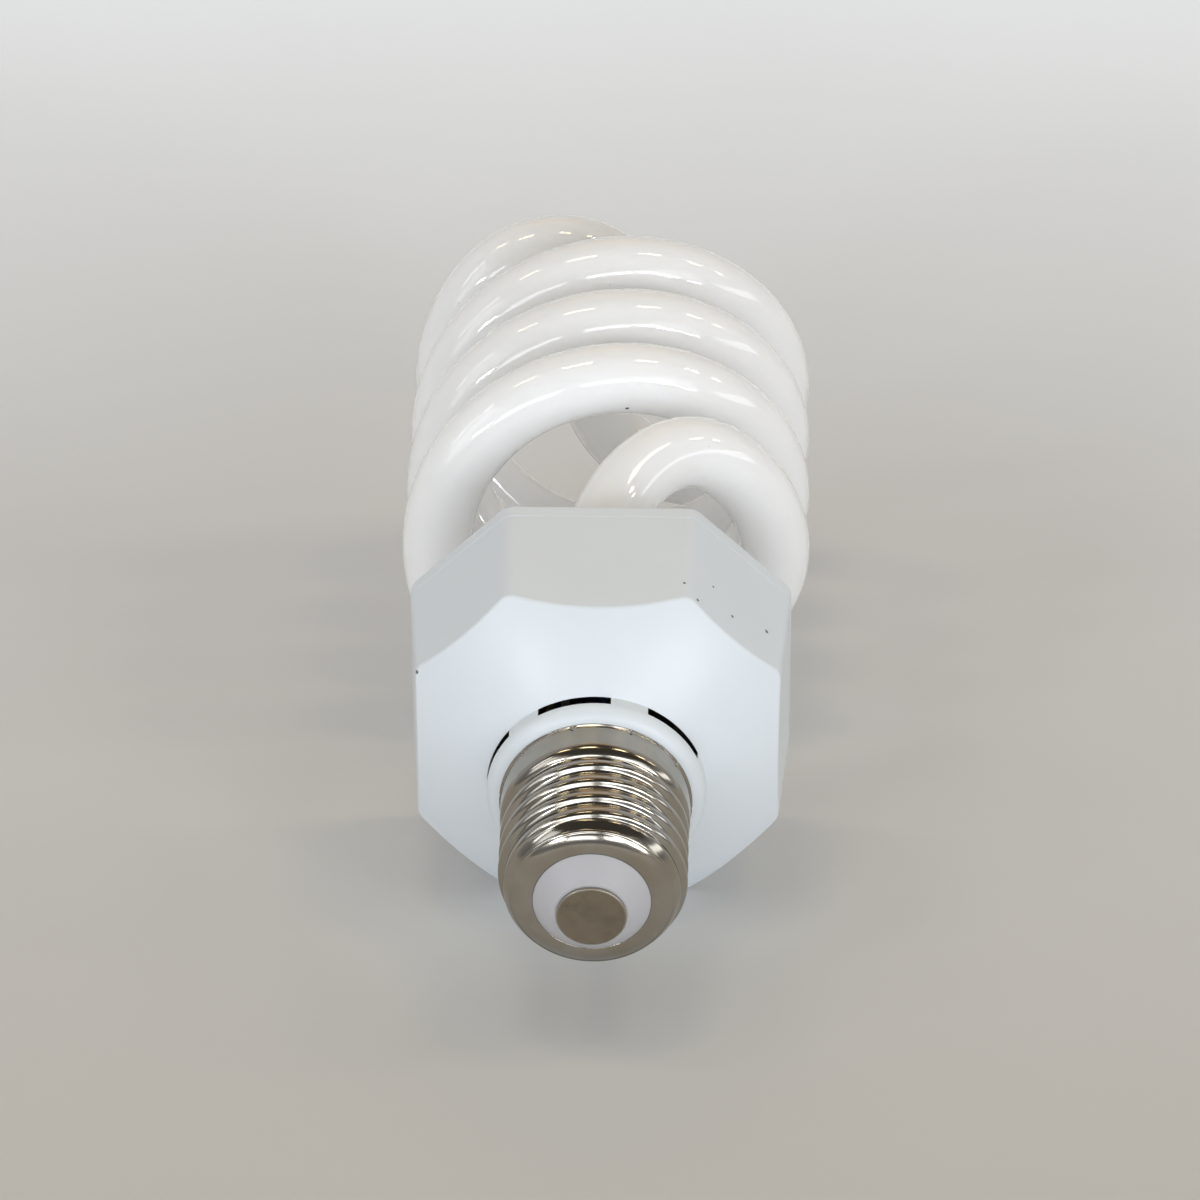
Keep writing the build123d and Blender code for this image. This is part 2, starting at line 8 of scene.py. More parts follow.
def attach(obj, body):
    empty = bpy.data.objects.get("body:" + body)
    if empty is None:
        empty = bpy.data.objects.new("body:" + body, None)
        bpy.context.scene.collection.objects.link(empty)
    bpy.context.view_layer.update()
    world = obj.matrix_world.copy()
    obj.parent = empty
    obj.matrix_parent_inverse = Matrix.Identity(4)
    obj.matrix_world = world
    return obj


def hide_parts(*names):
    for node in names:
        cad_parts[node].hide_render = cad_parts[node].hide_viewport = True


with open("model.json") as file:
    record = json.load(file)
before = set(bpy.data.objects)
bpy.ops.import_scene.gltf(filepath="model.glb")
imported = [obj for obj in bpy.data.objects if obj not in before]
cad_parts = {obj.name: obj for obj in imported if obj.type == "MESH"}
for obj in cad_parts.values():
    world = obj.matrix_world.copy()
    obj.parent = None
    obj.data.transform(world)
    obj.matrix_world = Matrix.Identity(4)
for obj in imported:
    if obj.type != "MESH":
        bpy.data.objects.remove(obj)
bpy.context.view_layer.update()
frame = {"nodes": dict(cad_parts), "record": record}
nodes = frame["nodes"]
print("frame loaded with", len(nodes), "nodes")

# lamp frame in millimetres: x right, y down, z along the axis from the contact face to the tip of the tube
mm = 0.001
capLayout = {
    "noseZ": 8.4,           # where the rounded nose ends
    "threadLength": 12.6,   # from the nose to the plain skirt
    "skirtLength": 5.6,     # from the thread to the rim
}
mounts = {m["name"]: m for m in frame["record"]["mounts"]}
lampAxis = -np.array(mounts["screw_cap"]["axis"], float)
lampAxis /= np.linalg.norm(lampAxis)
lampRight = np.array([1.0, 0.0, 0.0])
lampDown = np.cross(lampAxis, lampRight)
threadMiddle = capLayout["noseZ"] + capLayout["threadLength"] / 2
lampOrigin = np.array(mounts["screw_cap"]["pos_m"], float) - lampAxis * threadMiddle * mm
lampTurn = np.stack([lampRight, lampDown, lampAxis])


def toRow(points):
    # a lamp point in millimetres becomes the origin plus each coordinate along its own lamp direction
    return lampOrigin + mm * (points @ lampTurn)


def buildPiece(name, grid, replaced, closedProfile=False):
    # rows run along the profile and columns round it; an open profile is closed by a fan at each end
    rows, columns = grid.shape[:2]
    here = np.arange(rows * columns).reshape(rows, columns)
    beside = np.roll(here, -1, 1)
    points = grid.reshape(-1, 3)
    if closedProfile:
        quads = np.stack([here, beside, np.roll(beside, -1, 0), np.roll(here, -1, 0)], -1)
        fans = np.zeros((0, 3), int)
    else:
        quads = np.stack([here[:-1], beside[:-1], beside[1:], here[1:]], -1)
        points = np.vstack([points, grid[0].mean(0), grid[-1].mean(0)])
        first = np.full(columns, rows * columns)
        startFan = np.stack([first, beside[0], here[0]], -1)
        endFan = np.stack([first + 1, here[-1], beside[-1]], -1)
        fans = np.vstack([startFan, endFan])
    quads = quads.reshape(-1, 4)
    # the signed volume, a sum of triple products, says whether the faces look outwards
    triangles = np.vstack([quads[:, [0, 1, 2]], quads[:, [0, 2, 3]], fans])
    a, b, c = (points[triangles[:, k]] for k in range(3))
    if np.einsum("ij,ij->i", a, np.cross(b, c)).sum() < 0:
        quads, fans = quads[:, ::-1], fans[:, ::-1]
    mesh = bpy.data.meshes.new(name)
    mesh.from_pydata(toRow(points).tolist(), [], quads.tolist() + fans.tolist())
    mesh.polygons.foreach_set("use_smooth", np.ones(len(mesh.polygons), bool))
    mesh.update()
    piece = bpy.data.objects.new(name, mesh)
    bpy.context.scene.collection.objects.link(piece)
    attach(piece, "root")
    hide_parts(replaced)
    print("piece", name, len(mesh.vertices), "points")
    return piece


def roundedProfile(corners, radii, steps=6):
    # each corner of a closed outline gives way to an arc: a quadratic curve between the two tangent points
    corners = np.array(corners, float)
    before = np.roll(corners, 1, 0) - corners
    after = np.roll(corners, -1, 0) - corners
    reach = np.array(radii, float)[:, None]
    start = corners + before / np.linalg.norm(before, axis=1, keepdims=True) * reach
    end = corners + after / np.linalg.norm(after, axis=1, keepdims=True) * reach
    t = np.linspace(0, 1, steps)[None, :, None]
    arcs = (1 - t) ** 2 * start[:, None] + 2 * t * (1 - t) * corners[:, None] + t ** 2 * end[:, None]
    return arcs.reshape(-1, 2)


def revolved(profile, columns):
    # a profile of radius and height turned about the axis
    angle = np.linspace(0, 2 * np.pi, columns, endpoint=False)
    r, z = profile[:, :1], profile[:, 1:]
    return np.stack([r * np.cos(angle), r * np.sin(angle), z + 0 * angle], -1)


def smoothStep(low, high, value):
    # three t squared minus two t cubed between low and high
    t = np.clip((value - low) / (high - low), 0, 1)
    return t * t * (3 - 2 * t)


# discharge tube
tube = {
    "radius": 5.145,
    "coilOuterRadius": 29.995,
    "pitch": 29.4,
    "startAngle": -45.0,
    "turnAngle": 623.0,
    "footRadius": 17.5,
    "footAngle": -92.0,
    "footDepth": 7.1,
    "footRound": 3.0,
    "coverZ": 60.0,
    "legRise": 25.2,
    "footHandle": 14.0,
    "bendHandle": 13.0,
    "tipRise": 9.0,
    "tipAngle": 92.0,
    "tipHandle": 16.5,
    "leanFrom": 60.0,       # along the path, where the circle's frame starts to lean
    "leanTo": 0.7,          # share of the half path where it has leant over
    "legPoints": 200,
    "bendPoints": 1500,
    "helixPoints": 6000,
    "footRows": 6,
    "step": 0.9,
    "columns": 56,
}


def bezierCurve(a, b, c, d, t):
    # cubic curve through a and d with handles b and c
    t = t[:, None]
    return (1 - t) ** 3 * a + 3 * t * (1 - t) ** 2 * b + 3 * t * t * (1 - t) * c + t ** 3 * d


def turned(points, degrees):
    # points turned about the lamp axis
    c, s = math.cos(math.radians(degrees)), math.sin(math.radians(degrees))
    return points @ np.array([[c, s, 0], [-s, c, 0], [0, 0, 1]])


def halfTubePath():
    # straight foot, bend, helix and tip bend, dense, from the foot to the middle of the tip
    coilRadius = tube["coilOuterRadius"] - tube["radius"]
    coilZ = tube["coverZ"] + tube["legRise"]
    turn = math.radians(tube["turnAngle"])
    rise = tube["pitch"] / (2 * math.pi)
    angle = np.linspace(0, turn, tube["helixPoints"])
    helix = np.stack([coilRadius * np.cos(angle), coilRadius * np.sin(angle), coilZ + rise * angle], -1)

    def heading(a):
        d = np.array([-coilRadius * math.sin(a), coilRadius * math.cos(a), rise])
        return d / np.linalg.norm(d)

    foot = turned(np.array([[tube["footRadius"], 0, 0]]), tube["footAngle"] - tube["startAngle"])[0]
    footTop = foot + [0, 0, tube["coverZ"]]
    footEnd = footTop - [0, 0, tube["footDepth"]]
    tip = np.array([0, 0, helix[-1, 2] + tube["tipRise"]])
    tipHeading = turned(np.array([[-1.0, 0, 0]]), tube["turnAngle"] + tube["tipAngle"])[0]
    t = np.linspace(0, 1, tube["bendPoints"])
    legT = t[:tube["legPoints"], None]
    leg = footEnd + legT / legT[-1] * (footTop - footEnd)
    bend = bezierCurve(footTop, footTop + [0, 0, tube["footHandle"]],
                       helix[0] - heading(0) * tube["bendHandle"], helix[0], t)
    end = bezierCurve(helix[-1], helix[-1] + heading(turn) * tube["tipHandle"],
                      tip - tipHeading * tube["tipHandle"], tip, t)
    path = np.vstack([leg[:-1], bend[:-1], helix[:-1], end])
    return turned(path, tube["startAngle"])


def glassTubeGrid():
    # a circle carried along the path, its frame leaning from the radial direction to the axis on the way
    dense = halfTubePath()
    gone = np.concatenate([[0], np.cumsum(np.linalg.norm(np.diff(dense, axis=0), axis=1))])
    length = gone[-1]
    bow = tube["footRound"] * (1 - np.cos(np.linspace(0, np.pi / 2, tube["footRows"])))
    s = np.concatenate([bow, np.linspace(tube["footRound"], length, round(length / tube["step"]))[1:]])
    tangent = np.gradient(dense, gone, axis=0)
    place = np.stack([np.interp(s, gone, dense[:, k]) for k in range(3)], -1)
    ahead = np.stack([np.interp(s, gone, tangent[:, k]) for k in range(3)], -1)
    ahead[-1, 2] = 0
    ahead /= np.linalg.norm(ahead, axis=1, keepdims=True)
    outward = place * [1, 1, 0]
    outward /= np.maximum(np.linalg.norm(outward, axis=1, keepdims=True), 1e-6)
    lean = (np.pi / 2 * smoothStep(tube["leanFrom"], tube["leanTo"] * length, s))[:, None]
    side = np.cos(lean) * outward + np.sin(lean) * [0, 0, 1]
    # the second half is the first turned by half a turn and walked backwards
    place = np.vstack([place, turned(place, 180)[-2::-1]])
    ahead = np.vstack([ahead, -turned(ahead, 180)[-2::-1]])
    side = np.vstack([side, turned(side, 180)[-2::-1]])
    s = np.concatenate([s, s[-2::-1]])
    side -= (side * ahead).sum(1, keepdims=True) * ahead
    side /= np.linalg.norm(side, axis=1, keepdims=True)
    across = np.cross(ahead, side)
    # the feet end in a rounded edge: a quarter circle in the radius
    inset = tube["footRound"] - np.minimum(s, tube["footRound"])
    radius = tube["radius"] - tube["footRound"] + np.sqrt(tube["footRound"] ** 2 - inset ** 2)
    angle = np.linspace(0, 2 * np.pi, tube["columns"], endpoint=False)[None, :, None]
    ring = side[:, None] * np.cos(angle) + across[:, None] * np.sin(angle)
    return place[:, None] + radius[:, None, None] * ring


glassTube = buildPiece("glassTube", glassTubeGrid(), "glass_tube")

# screw cap shell
shell = {
    "mouthRadius": 8.1,
    "noseRadius": 4.6,
    "noseBow": 40.0,        # degrees of the nose below the first thread row
    "wall": 0.35,
    "rootRadius": 12.05,
    "crestRadius": 13.1,
    "pitch": 3.629,
    "flankSteepness": 2.0,
    "valleyShift": 0.2,     # wider valleys as this grows
    "threadPhase": 4.66,    # height of a crest at angle 0
    "threadStart": (6.2, 7.2),
    "threadEnd": (19.3, 20.7),
    "noseDip": 0.14,
    "dipFade": (6.5, 9.0),
    "dropFade": (5.6, 6.2),
    "noseFade": (6.6, 7.6),
    "drop": 2.0,            # keeps the thread's base inside the nose
    "noseBlend": 0.1,
    "skirtBlend": 0.08,
    "threadBlend": 0.06,
    "skirtRadius": 13.25,
    "skirtRoll": 1.9,       # radius of the roll between thread and skirt
    "skirtRollEnd": 22.3,
    "rimRadius": 13.5,
    "rimHeight": 0.34,
    "rimRound": 0.2,
    "rimGap": 0.005,        # between the rim and the housing
    "nickCount": 10,
    "nickAngle": -32.0,
    "nickDepth": 0.25,
    "nickReach": 0.4,
    "nickMargin": 0.1,      # the dents stay on faces no deeper than this below the skirt
    "backFrom": 1.0,        # below the rim, where the even rows of the inside start
    "columns": 200,
    "crowding": 0.65,       # how closely the columns gather at the punch marks
    "noseRows": 16,
    "threadRows": 300,
    "skirtRows": 11,
    "rimRows": 8,
    "lipRows": 7,
    "backRows": 6,
    "innerNoseSkip": 2,     # the inside keeps one row in so many
    "innerThreadSkip": 4,
}


def softMax(first, second, gap):
    # the larger of two values, rounded over where they come closer than the gap
    mix = np.clip(0.5 + (first - second) / (2 * gap), 0, 1)
    return second + (first - second) * mix + gap * mix * (1 - mix)


def shellRadius(z, angle):
    # the larger of the plain profile and a wave that climbs one pitch a turn
    climb = (z - shell["threadPhase"]) / shell["pitch"] - angle / (2 * np.pi)
    turn = np.round(climb)
    # hyperbolic tangent of a cosine: steep flanks, round crests and flatter valleys
    steep, shift = shell["flankSteepness"], shell["valleyShift"]
    swing = np.tanh(steep * (np.cos(2 * np.pi * climb) - shift))
    top, bottom = np.tanh(steep * (1 - shift)), np.tanh(-steep * (1 + shift))
    wave = (shell["crestRadius"] - shell["rootRadius"]) * (swing - bottom) / (top - bottom)
    # each crest swells along its own helix from nothing on the nose, and fades at the skirt
    crestZ = shell["threadPhase"] + shell["pitch"] * (turn + angle / (2 * np.pi))
    dip = shell["noseDip"] * (1 - smoothStep(*shell["dipFade"], z))
    dip = dip + shell["drop"] * (1 - smoothStep(*shell["dropFade"], z))
    swell = smoothStep(*shell["threadStart"], crestZ) * (1 - smoothStep(*shell["threadEnd"], crestZ))
    threaded = shell["rootRadius"] - dip + wave * swell
    # the nose is a quarter circle that starts flat at the mouth and stops a little outside the root
    below = np.clip((capLayout["noseZ"] - z) / shell["noseRadius"], 0, 1)
    bulge = shell["mouthRadius"] + shell["noseRadius"] * np.sqrt(1 - below ** 2)
    root = shell["rootRadius"] + shell["noseDip"] * (1 - smoothStep(*shell["noseFade"], z))
    # the skirt starts with a quarter circle as well
    before = np.clip(shell["skirtRollEnd"] - z, 0, shell["skirtRoll"])
    skirt = shell["skirtRadius"] - shell["skirtRoll"] + np.sqrt(shell["skirtRoll"] ** 2 - before ** 2)
    plain = softMax(-softMax(-bulge, -root, shell["noseBlend"]), skirt, shell["skirtBlend"])
    return softMax(threaded, plain, shell["threadBlend"])


def shellGrid():
    # outside from the mouth to the rim, then the inside back at one wall's depth
    # a column's angle is an even one minus a sine that gathers the columns at the punch marks
    even = np.linspace(0, 2 * np.pi, shell["columns"], endpoint=False)
    toNick = shell["nickCount"] * (even - math.radians(shell["nickAngle"]))
    angle = even - shell["crowding"] / shell["nickCount"] * np.sin(toNick)
    middleZ, high = capLayout["noseZ"], shell["skirtRollEnd"]
    capZ = middleZ + capLayout["threadLength"] + capLayout["skirtLength"]
    bow = np.linspace(0, np.radians(shell["noseBow"]), shell["noseRows"])
    noseR = shell["mouthRadius"] + shell["noseRadius"] * np.sin(bow)
    noseZ = middleZ - shell["noseRadius"] * np.cos(bow)
    threadZ = np.linspace(noseZ[-1], high, shell["threadRows"])[1:]
    skirtZ = np.linspace(high, capZ - shell["rimHeight"], shell["skirtRows"])[1:]
    edge = shell["rimRound"]
    rimZ = np.linspace(capZ - shell["rimHeight"], capZ - edge, shell["rimRows"])[1:]
    ones = np.ones_like(angle)
    outerNose = np.stack([noseR[:, None] * ones, noseZ[:, None] * ones], -1)
    threadR = shellRadius(threadZ[:, None], angle[None])
    outerThread = np.stack([threadR, threadZ[:, None] * ones], -1)
    skirtR = shell["skirtRadius"] + 0 * skirtZ
    rimR = np.linspace(shell["skirtRadius"], shell["rimRadius"], shell["rimRows"])[1:]
    lipTurn = np.linspace(0, np.pi / 2, shell["lipRows"])[1:]
    lipR = shell["rimRadius"] - edge * (1 - np.cos(lipTurn))
    lipZ = capZ - shell["rimGap"] - edge * (1 - np.sin(lipTurn))
    evenZ = np.linspace(capZ - shell["backFrom"], high, shell["backRows"])
    backZ = np.concatenate([[capZ - shell["rimGap"], capZ - edge], evenZ])
    backR = shell["skirtRadius"] - shell["wall"] + 0 * backZ
    plainR = np.concatenate([skirtR, rimR, lipR, backR])
    plainZ = np.concatenate([skirtZ, rimZ, lipZ, backZ])
    plain = np.stack([plainR[:, None] * ones, plainZ[:, None] * ones], -1)
    innerThread = outerThread[::-shell["innerThreadSkip"]][1:] - [shell["wall"], 0]
    innerBow = bow[::-shell["innerNoseSkip"]]
    innerR = shell["mouthRadius"] + (shell["noseRadius"] - shell["wall"]) * np.sin(innerBow)
    innerZ = middleZ - (shell["noseRadius"] - shell["wall"]) * np.cos(innerBow)
    innerNose = np.stack([innerR[:, None] * ones, innerZ[:, None] * ones], -1)
    profile = np.vstack([outerNose, outerThread, plain, innerThread, innerNose])
    r, z = profile[..., 0], profile[..., 1]
    # small punch marks below the rim: a dent that fades with the square of the distance
    nickZ = capZ - shell["rimHeight"] - shell["nickDepth"] / 2
    step = 360 / shell["nickCount"]
    turn = np.degrees(angle) - shell["nickAngle"]
    offset = np.radians((turn + step / 2) % step - step / 2) * shell["skirtRadius"]
    away = (offset[None] ** 2 + (z - nickZ) ** 2) / shell["nickReach"] ** 2
    outside = r > shell["skirtRadius"] - shell["nickMargin"]
    r = r - shell["nickDepth"] * np.clip(1 - away, 0, 1) * outside
    return np.stack([r * np.cos(angle), r * np.sin(angle), z], -1)


capShell = buildPiece("capShell", shellGrid(), "cap_shell", closedProfile=True)

# insulator cone between the shell's mouth and the contact
cone = {
    "innerRadius": 1.65,
    "landRadius": 5.21,
    "landZ": 0.8,
    "mouthRadius": 8.098,
    "mouthZ": 3.8,
    "lipZ": 4.54,
    "lipRadius": 9.35,
    "backZ": 6.0,
    "rounds": [0.1, 0.17, 0.03, 0.1, 0.2, 0.2, 0.1],
    "columns": 144,
}
coneCorners = [
    (cone["innerRadius"], cone["landZ"]),
    (cone["landRadius"], cone["landZ"]),
    (cone["mouthRadius"], cone["mouthZ"]),
    (cone["mouthRadius"], cone["lipZ"]),
    (cone["lipRadius"], cone["lipZ"]),
    (cone["lipRadius"], cone["backZ"]),
    (cone["innerRadius"], cone["backZ"]),
]
coneProfile = roundedProfile(coneCorners, cone["rounds"])
insulatorCone = buildPiece("insulatorCone", revolved(coneProfile, cone["columns"]),
                           "cap_insulator", closedProfile=True)

# centre contact: a crowned disc on its rivet
disc = {
    "radius": 4.86,
    "crown": 0.25,
    "thickness": 0.8,
    "edge": 0.2,
    "bevel": 0.02,
    "rivetRadius": 1.6,
    "rivetLength": 4.8,
    "fanRadii": (0.15, 0.3),    # where the small fans in the middle of both ends begin
    "crownRows": 24,
    "edgeRows": 6,
    "columns": 120,
}


def discProfile():
    # crown height grows with the square of the radius, then a rounded edge, the back and the rivet
    r = np.linspace(disc["fanRadii"][0], disc["radius"] - disc["edge"], disc["crownRows"])
    crown = np.stack([r, disc["crown"] * (r / disc["radius"]) ** 2], -1)
    turn = np.linspace(0, np.pi / 2, disc["edgeRows"])[1:]
    edgeZ = crown[-1, 1] + disc["edge"]
    edge = np.stack([r[-1] + disc["edge"] * np.sin(turn), edgeZ - disc["edge"] * np.cos(turn)], -1)
    bevel, backZ, rivet = disc["bevel"], disc["thickness"], disc["rivetRadius"]
    rivetZ = backZ + disc["rivetLength"]
    back = np.array([
        [disc["radius"], backZ - bevel],
        [disc["radius"] - bevel, backZ],
        [rivet + bevel, backZ],
        [rivet, backZ + bevel],
        [rivet, rivetZ - bevel],
        [rivet - bevel, rivetZ],
        [disc["fanRadii"][1], rivetZ],
    ])
    return np.vstack([crown, edge, back])


contactDisc = buildPiece("contactDisc", revolved(discProfile(), disc["columns"]),
                         "centre_contact")


def addNode(tree, kind, inputs=None, **settings):
    # a node with its settings, its plain inputs and its links in one call
    node = tree.nodes.new(kind)
    for name, value in settings.items():
        setattr(node, name, value)
    for name, value in (inputs or {}).items():
        if isinstance(value, bpy.types.NodeSocket):
            tree.links.new(value, node.inputs[name])
        else:
            node.inputs[name].default_value = value
    return node


def mapped(tree, value, low, high, fromLow=0.0, fromHigh=1.0):
    # a value carried from one range to another and held at its ends
    inputs = {"Value": value, "From Min": fromLow, "From Max": fromHigh, "To Min": low, "To Max": high}
    return addNode(tree, "ShaderNodeMapRange", inputs).outputs[0]


def joined(tree, operation, first, second):
    # two values in one sum
    return addNode(tree, "ShaderNodeMath", {0: first, 1: second}, operation=operation).outputs[0]


def newGroup(name, inputs, outputs):
    # a shader node group with named float inputs and outputs
    group = bpy.data.node_groups.new(name, "ShaderNodeTree")
    for label, value in inputs.items():
        kind = "NodeSocketVector" if isinstance(value, tuple) else "NodeSocketFloat"
        socket = group.interface.new_socket(name=label, in_out="INPUT", socket_type=kind)
        socket.default_value = value
    for label in outputs:
        group.interface.new_socket(name=label, in_out="OUTPUT", socket_type="NodeSocketFloat")
    return group, group.nodes.new("NodeGroupInput").outputs, group.nodes.new("NodeGroupOutput").inputs


def lampSpaceGroup():
    # distances right, down and along the lamp in millimetres, and the radius and angle about its axis
    group, _, result = newGroup("lampSpace", {}, ["Right", "Down", "Along", "Radius", "Angle"])
    place = addNode(group, "ShaderNodeTexCoord").outputs["Object"]
    fromOrigin = addNode(group, "ShaderNodeVectorMath", {0: place, 1: lampOrigin.tolist()},
                         operation="SUBTRACT")
    inMm = addNode(group, "ShaderNodeVectorMath", {0: fromOrigin.outputs[0], "Scale": 1 / mm},
                   operation="SCALE")
    parts = []
    for direction in lampTurn:
        part = addNode(group, "ShaderNodeVectorMath", {0: inMm.outputs[0], 1: direction.tolist()},
                       operation="DOT_PRODUCT")
        parts.append(part.outputs["Value"])
    flat = addNode(group, "ShaderNodeCombineXYZ", {"X": parts[0], "Y": parts[1]})
    radius = addNode(group, "ShaderNodeVectorMath", {0: flat.outputs[0]}, operation="LENGTH")
    angle = addNode(group, "ShaderNodeMath", {0: parts[1], 1: parts[0]}, operation="ARCTAN2")
    for label, socket in zip(result.keys(), [*parts, radius.outputs["Value"], angle.outputs[0]]):
        if label:
            group.links.new(socket, result[label])
    return group


def mottleGroup():
    # soft noise on object coordinates, stretched to the whole range from nought to one
    group, given, result = newGroup("mottle", {"Scale": 100.0, "Detail": 3.0, "Spread": 0.25}, ["Value"])
    place = addNode(group, "ShaderNodeTexCoord").outputs["Object"]
    noise = addNode(group, "ShaderNodeTexNoise",
                    {"Vector": place, "Scale": given["Scale"], "Detail": given["Detail"], "Roughness": 0.55})
    low = joined(group, "SUBTRACT", 0.5, given["Spread"])
    high = joined(group, "ADD", 0.5, given["Spread"])
    ends = {"Value": noise.outputs["Fac"], "From Min": low, "From Max": high}
    value = addNode(group, "ShaderNodeMapRange", ends, interpolation_type="SMOOTHSTEP")
    group.links.new(value.outputs[0], result["Value"])
    return group


def dustGroup():
    # a cell's centre carries a speck sized by the sixth power of the cell's random colour, so few are large
    group, given, result = newGroup("dustSpecks", {"Scale": 200.0, "Size": 0.1}, ["Mask"])
    place = addNode(group, "ShaderNodeTexCoord").outputs["Object"]
    cells = addNode(group, "ShaderNodeTexVoronoi", {"Vector": place, "Scale": given["Scale"]})
    chance = addNode(group, "ShaderNodeSeparateColor", {0: cells.outputs["Color"]})
    rare = joined(group, "POWER", chance.outputs[0], 6.0)
    size = joined(group, "MULTIPLY", rare, given["Size"])
    inner = joined(group, "MULTIPLY", size, 0.6)
    mask = mapped(group, cells.outputs["Distance"], 1.0, 0.0, inner, size)
    group.links.new(mask, result["Mask"])
    return group


def spotGroup():
    # one speck of dirt: full within its size about a lamp point, gone at one and a half times that
    group, given, result = newGroup("dirtSpot", {"Point": (0.0, 0.0, 0.0), "Size": 0.2}, ["Mask"])
    space = addNode(group, "ShaderNodeGroup", node_tree=lampSpace).outputs
    here = addNode(group, "ShaderNodeCombineXYZ",
                   {"X": space["Right"], "Y": space["Down"], "Z": space["Along"]})
    gone = addNode(group, "ShaderNodeVectorMath", {0: here.outputs[0], 1: given["Point"]},
                   operation="DISTANCE")
    outer = joined(group, "MULTIPLY", given["Size"], 1.5)
    mask = mapped(group, gone.outputs["Value"], 1.0, 0.0, given["Size"], outer)
    group.links.new(mask, result["Mask"])
    return group


def hairlineGroup():
    # fine lines round the axis: noise that is stretched along the angle
    group, given, result = newGroup("turnedHairlines", {"Density": 6.0, "Length": 4.0}, ["Value"])
    space = addNode(group, "ShaderNodeGroup", node_tree=lampSpace).outputs
    around = joined(group, "MULTIPLY", space["Angle"], given["Length"])
    along = joined(group, "MULTIPLY", space["Along"], given["Density"])
    outward = joined(group, "MULTIPLY", space["Radius"], given["Density"])
    place = addNode(group, "ShaderNodeCombineXYZ", {"X": around, "Y": along, "Z": outward})
    noise = addNode(group, "ShaderNodeTexNoise", {"Vector": place.outputs[0], "Scale": 1.0, "Detail": 2.0})
    group.links.new(noise.outputs["Fac"], result["Value"])
    return group


lampSpace = lampSpaceGroup()
mottle = mottleGroup()
dustSpecks = dustGroup()
dirtSpot = spotGroup()
turnedHairlines = hairlineGroup()
print("shared node groups ready")


def newMaterial(name, roughness, metallic=0.0):
    material = bpy.data.materials.new(name)
    material.use_nodes = True
    shader = material.node_tree.nodes["Principled BSDF"]
    shader.inputs["Roughness"].default_value = roughness
    shader.inputs["Metallic"].default_value = metallic
    return material, material.node_tree, shader


def groupNode(tree, group, **inputs):
    return addNode(tree, "ShaderNodeGroup", inputs, node_tree=group).outputs[0]


def mixColour(tree, factor, first, second):
    # colours may be sockets or plain triples
    def colour(value):
        return value if isinstance(value, bpy.types.NodeSocket) else (*value, 1)
    inputs = {0: factor, 6: colour(first), 7: colour(second)}
    return addNode(tree, "ShaderNodeMix", inputs, data_type="RGBA").outputs[2]


def bumped(tree, shader, height, strength, distance):
    bump = addNode(tree, "ShaderNodeBump", {"Height": height, "Strength": strength, "Distance": distance})
    tree.links.new(bump.outputs[0], shader.inputs["Normal"])


def withSpots(tree, colour, spots, dark):
    # dirt laid over a colour, one spot after another
    for point, size in spots:
        spot = groupNode(tree, dirtSpot, Point=point, Size=size)
        colour = mixColour(tree, spot, colour, dark)
    return colour


def dress(piece, material):
    piece.data.materials.clear()
    piece.data.materials.append(material)


# coated glass
glassLook = {
    "white": (0.965, 0.968, 0.97),
    "thin": (0.955, 0.96, 0.96),
    "roughness": (0.015, 0.03),
    "refraction": 1.6,
    "milkiness": 1.0,
    "milkDepth": 0.010,
    "milkReach": (1.0, 1.0, 0.95),
    "dust": 0.4,
    "spots": [((3.1, -22.36, 92.16), 0.22)],
    "dirt": (0.12, 0.11, 0.10),
}


def milkGlass():
    material, tree, shader = newMaterial("milkGlass", 0.05)
    cloud = groupNode(tree, mottle, Scale=160.0, Detail=4.0, Spread=0.3)
    colour = mixColour(tree, cloud, glassLook["white"], glassLook["thin"])
    dust = groupNode(tree, dustSpecks, Scale=260.0, Size=0.04)
    colour = mixColour(tree, joined(tree, "MULTIPLY", dust, glassLook["dust"]), colour, glassLook["dirt"])
    colour = withSpots(tree, colour, glassLook["spots"], glassLook["dirt"])
    tree.links.new(colour, shader.inputs["Base Color"])
    smear = groupNode(tree, mottle, Scale=60.0, Detail=3.0, Spread=0.2)
    tree.links.new(mapped(tree, smear, *glassLook["roughness"]), shader.inputs["Roughness"])
    shader.inputs["IOR"].default_value = glassLook["refraction"]
    shader.inputs["Subsurface Weight"].default_value = glassLook["milkiness"]
    shader.inputs["Subsurface Radius"].default_value = glassLook["milkReach"]
    shader.inputs["Subsurface Scale"].default_value = glassLook["milkDepth"]
    return material


dress(glassTube, milkGlass())

# moulded white housing and cover
plasticLook = {
    "white": (0.725, 0.77, 0.81),
    "aged": (0.71, 0.75, 0.785),
    "roughness": (0.30, 0.36),
    "grain": (0.35, 0.000015),  # strength and depth
    "dust": 0.6,
    "spots": [
        ((13.94, -24.56, 40.75), 0.20),
        ((18.77, -20.01, 43.33), 0.20),
        ((23.61, -15.47, 46.14), 0.24),
        ((16.06, -23.03, 46.19), 0.15),
        ((12.04, -25.86, 42.98), 0.16),
        ((-25.35, -12.38, 39.77), 0.22),
    ],
    "dirt": (0.13, 0.13, 0.13),
    # where the inside of the vents is painted dark as shade, and the colour of that painted shade
    "ventRadius": (15.15, 15.3),
    "ventHeights": (28.85, 34.5),
    "ventPaintedShade": (0.004, 0.004, 0.004),
}


